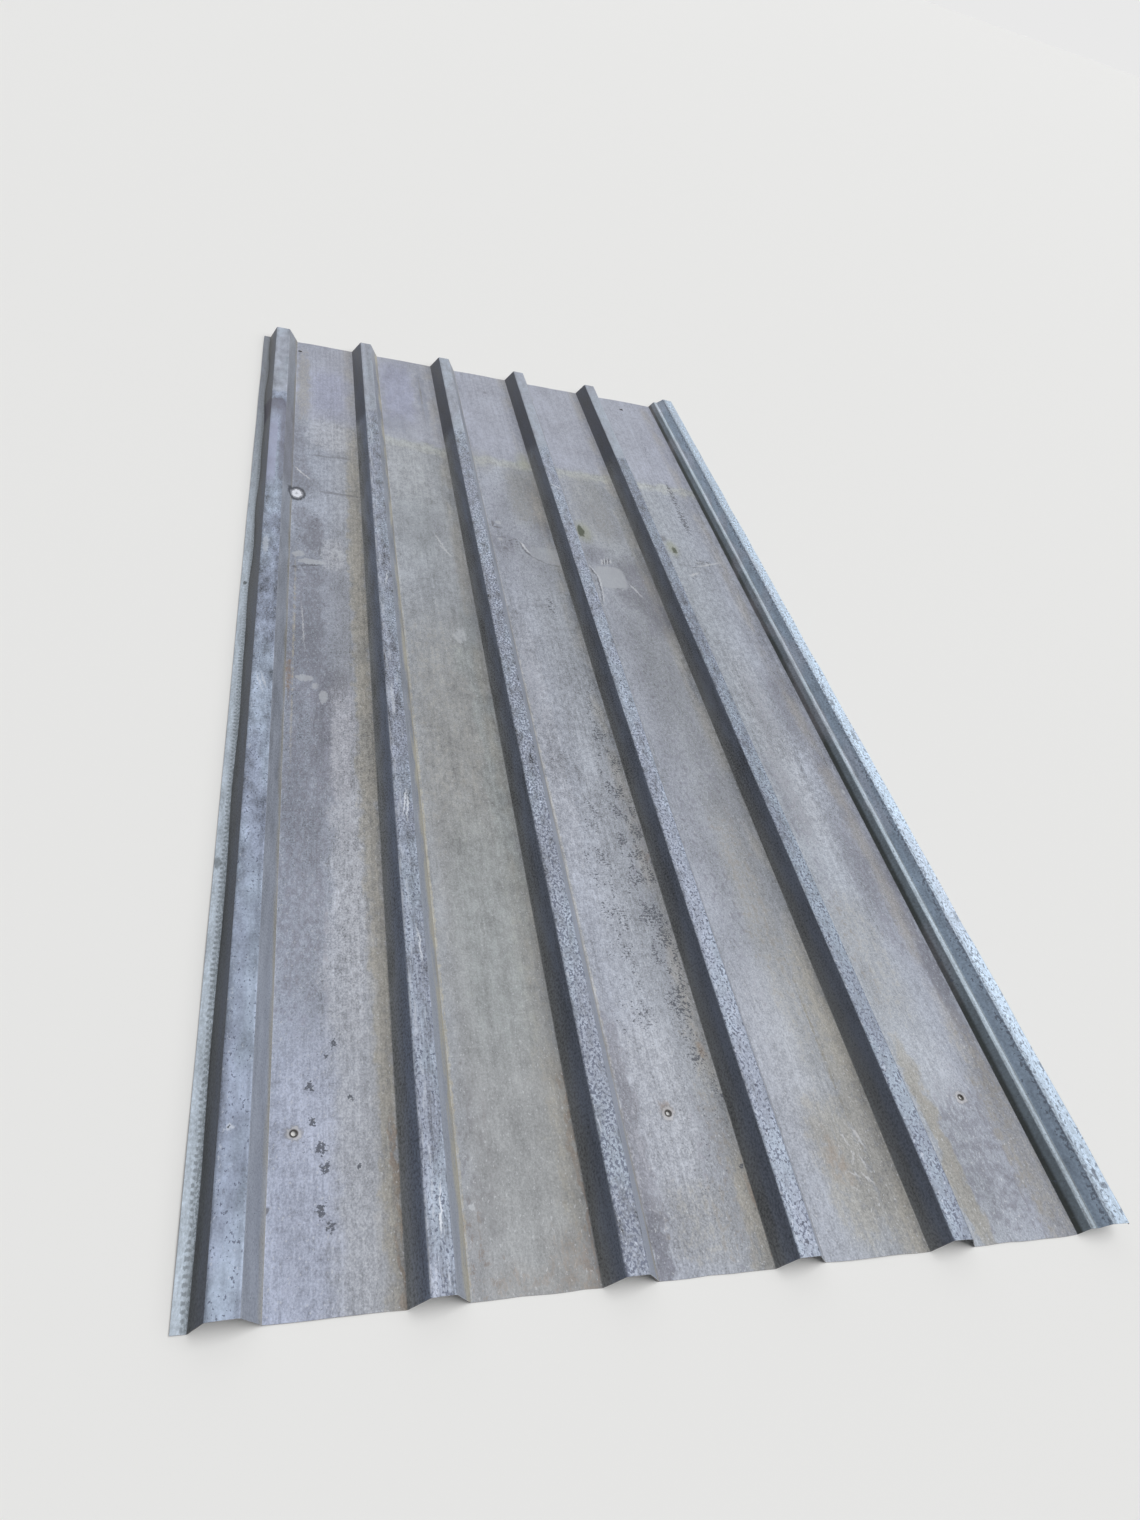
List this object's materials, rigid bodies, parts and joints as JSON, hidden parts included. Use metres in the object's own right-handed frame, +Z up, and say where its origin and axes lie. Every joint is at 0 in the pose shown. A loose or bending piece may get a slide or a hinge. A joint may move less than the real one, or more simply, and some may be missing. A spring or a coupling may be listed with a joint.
{
  "type": "corrugated metal sheet",
  "caption": "Trapezoidal galvanised steel roofing sheet with long ribs, flat pans, an overlap rib with a foot lip and a stepped underlap rib, drilled for screws.",
  "frame": {"origin": "under the middle of the sheet, on the plane of the pans' undersides", "axes": "+Y along the ribs towards the rear end, +X across the ribs towards the underlap rib, +Z up through the crests"},
  "size_m": [1.1402, 2.34, 0.03],
  "materials": {
    "galvanised_steel": "weathered zinc coating, dull grey with bright strips where another sheet covered it"
  },
  "bodies": {
    "root": {"roof_sheet": "galvanised_steel"}
  },
  "joints": []
}
